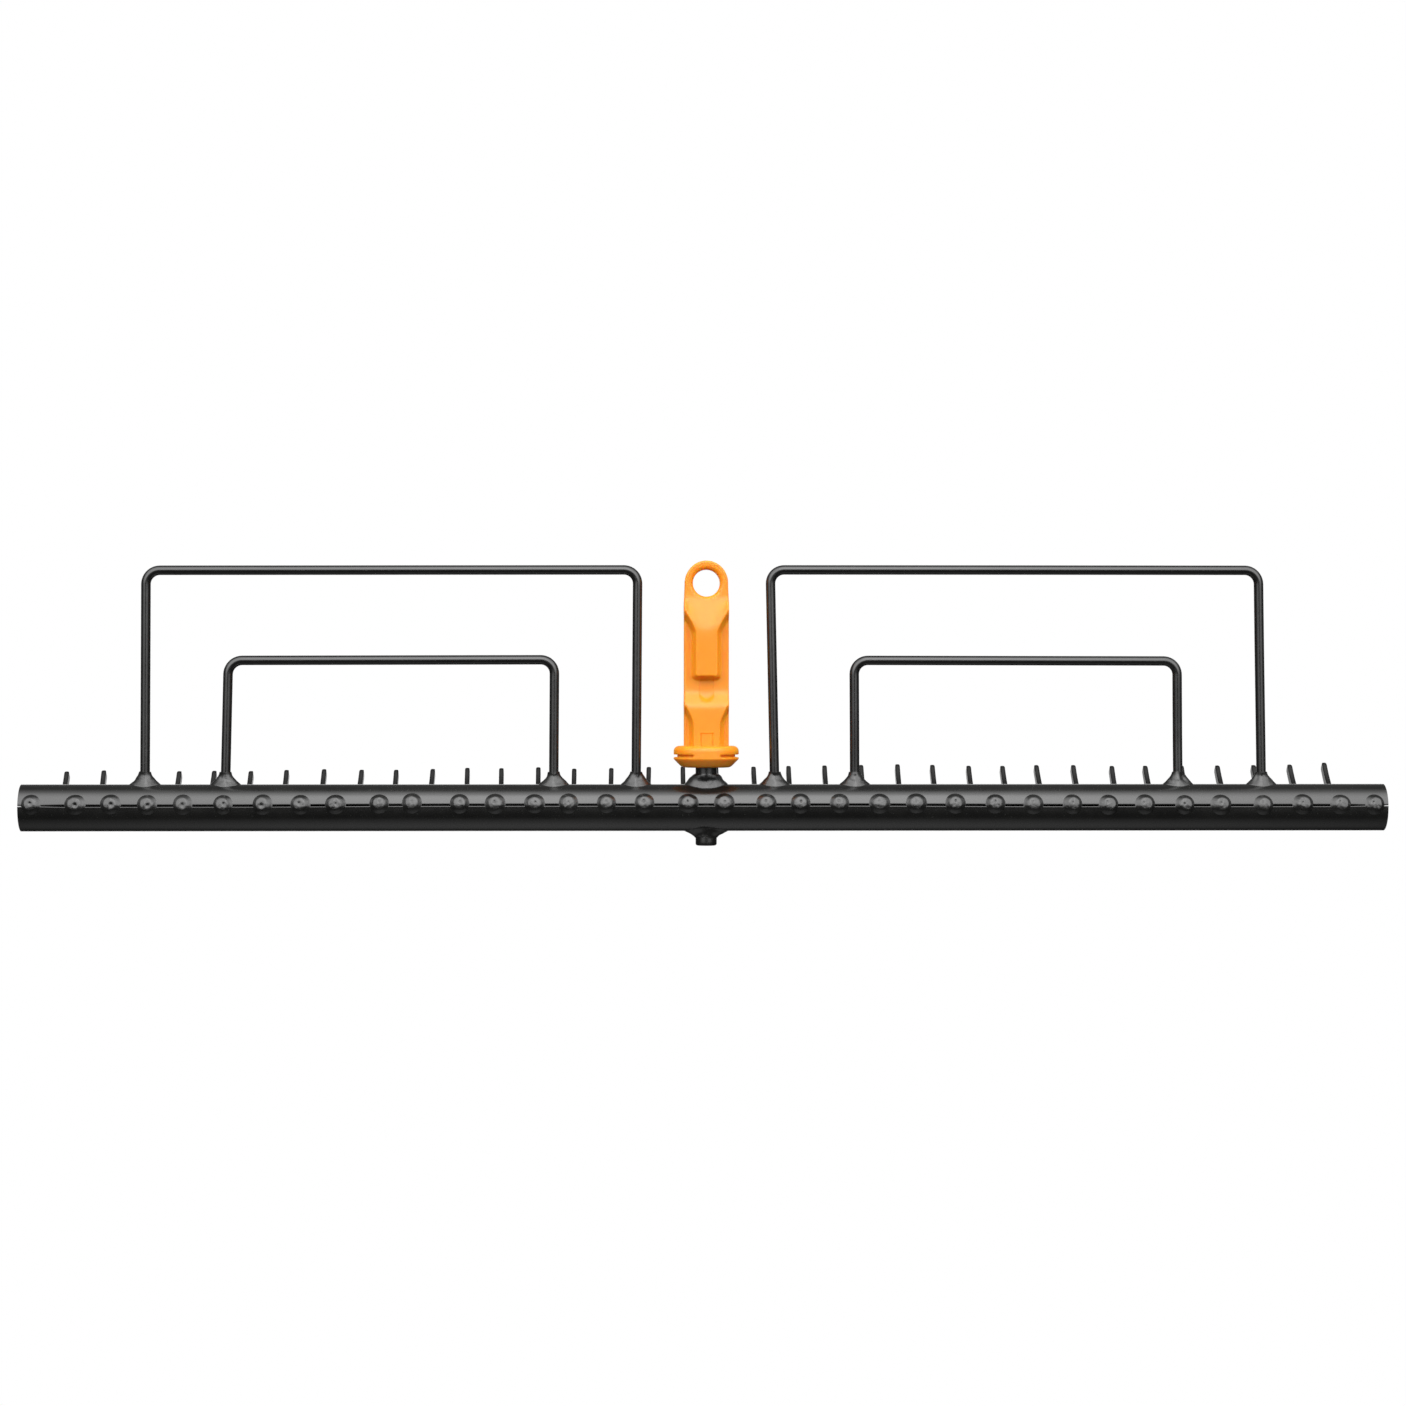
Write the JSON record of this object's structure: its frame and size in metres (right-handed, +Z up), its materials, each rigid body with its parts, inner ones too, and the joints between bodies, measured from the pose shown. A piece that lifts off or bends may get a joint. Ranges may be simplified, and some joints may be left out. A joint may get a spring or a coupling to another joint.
{
  "type": "lawn rake head",
  "caption": "Wide lawn rake head: curved flat spring teeth and nested wire hoops welded to a tube, with a plastic tongue for a push-on handle.",
  "frame": {"origin": "on the handle's axis, in the plane of the adapter's flange that the handle seats on", "axes": "+X along the tube, +Z up the handle, +Y from the tube towards the teeth's tips, so the tube's open seam is on the -Y side"},
  "size_m": [0.64, 0.1116, 0.1337],
  "materials": {
    "black_painted_steel": "satin black paint on steel tube and wire",
    "painted_weld": "satin black paint over lumpy weld beads",
    "orange_plastic": "moulded, lightly glossy orange plastic"
  },
  "bodies": {
    "root": {"head_tube": "black_painted_steel", "tooth_01": "black_painted_steel", "tooth_02": "black_painted_steel", "tooth_03": "black_painted_steel", "tooth_04": "black_painted_steel", "tooth_05": "black_painted_steel", "tooth_06": "black_painted_steel", "tooth_07": "black_painted_steel", "tooth_08": "black_painted_steel", "tooth_09": "black_painted_steel", "tooth_10": "black_painted_steel", "tooth_11": "black_painted_steel", "tooth_12": "black_painted_steel", "tooth_13": "black_painted_steel", "tooth_14": "black_painted_steel", "tooth_15": "black_painted_steel", "tooth_16": "black_painted_steel", "tooth_17": "black_painted_steel", "tooth_18": "black_painted_steel", "tooth_19": "black_painted_steel", "tooth_20": "black_painted_steel", "tooth_21": "black_painted_steel", "tooth_22": "black_painted_steel", "tooth_23": "black_painted_steel", "tooth_24": "black_painted_steel", "tooth_25": "black_painted_steel", "tooth_26": "black_painted_steel", "tooth_27": "black_painted_steel", "tooth_28": "black_painted_steel", "tooth_29": "black_painted_steel", "tooth_30": "black_painted_steel", "tooth_31": "black_painted_steel", "tooth_32": "black_painted_steel", "tooth_33": "black_painted_steel", "tooth_34": "black_painted_steel", "tooth_35": "black_painted_steel", "tooth_36": "black_painted_steel", "outer_hoop_left": "black_painted_steel", "inner_hoop_left": "black_painted_steel", "outer_hoop_right": "black_painted_steel", "inner_hoop_right": "black_painted_steel", "handle_stud": "black_painted_steel", "tooth_welds_left_end": "painted_weld", "tooth_welds_left_middle": "painted_weld", "tooth_welds_right_middle": "painted_weld", "tooth_welds_right_end": "painted_weld", "hoop_welds": "painted_weld", "stud_weld_upper": "painted_weld", "stud_weld_lower": "painted_weld", "handle_adapter": "orange_plastic"}
  },
  "joints": []
}
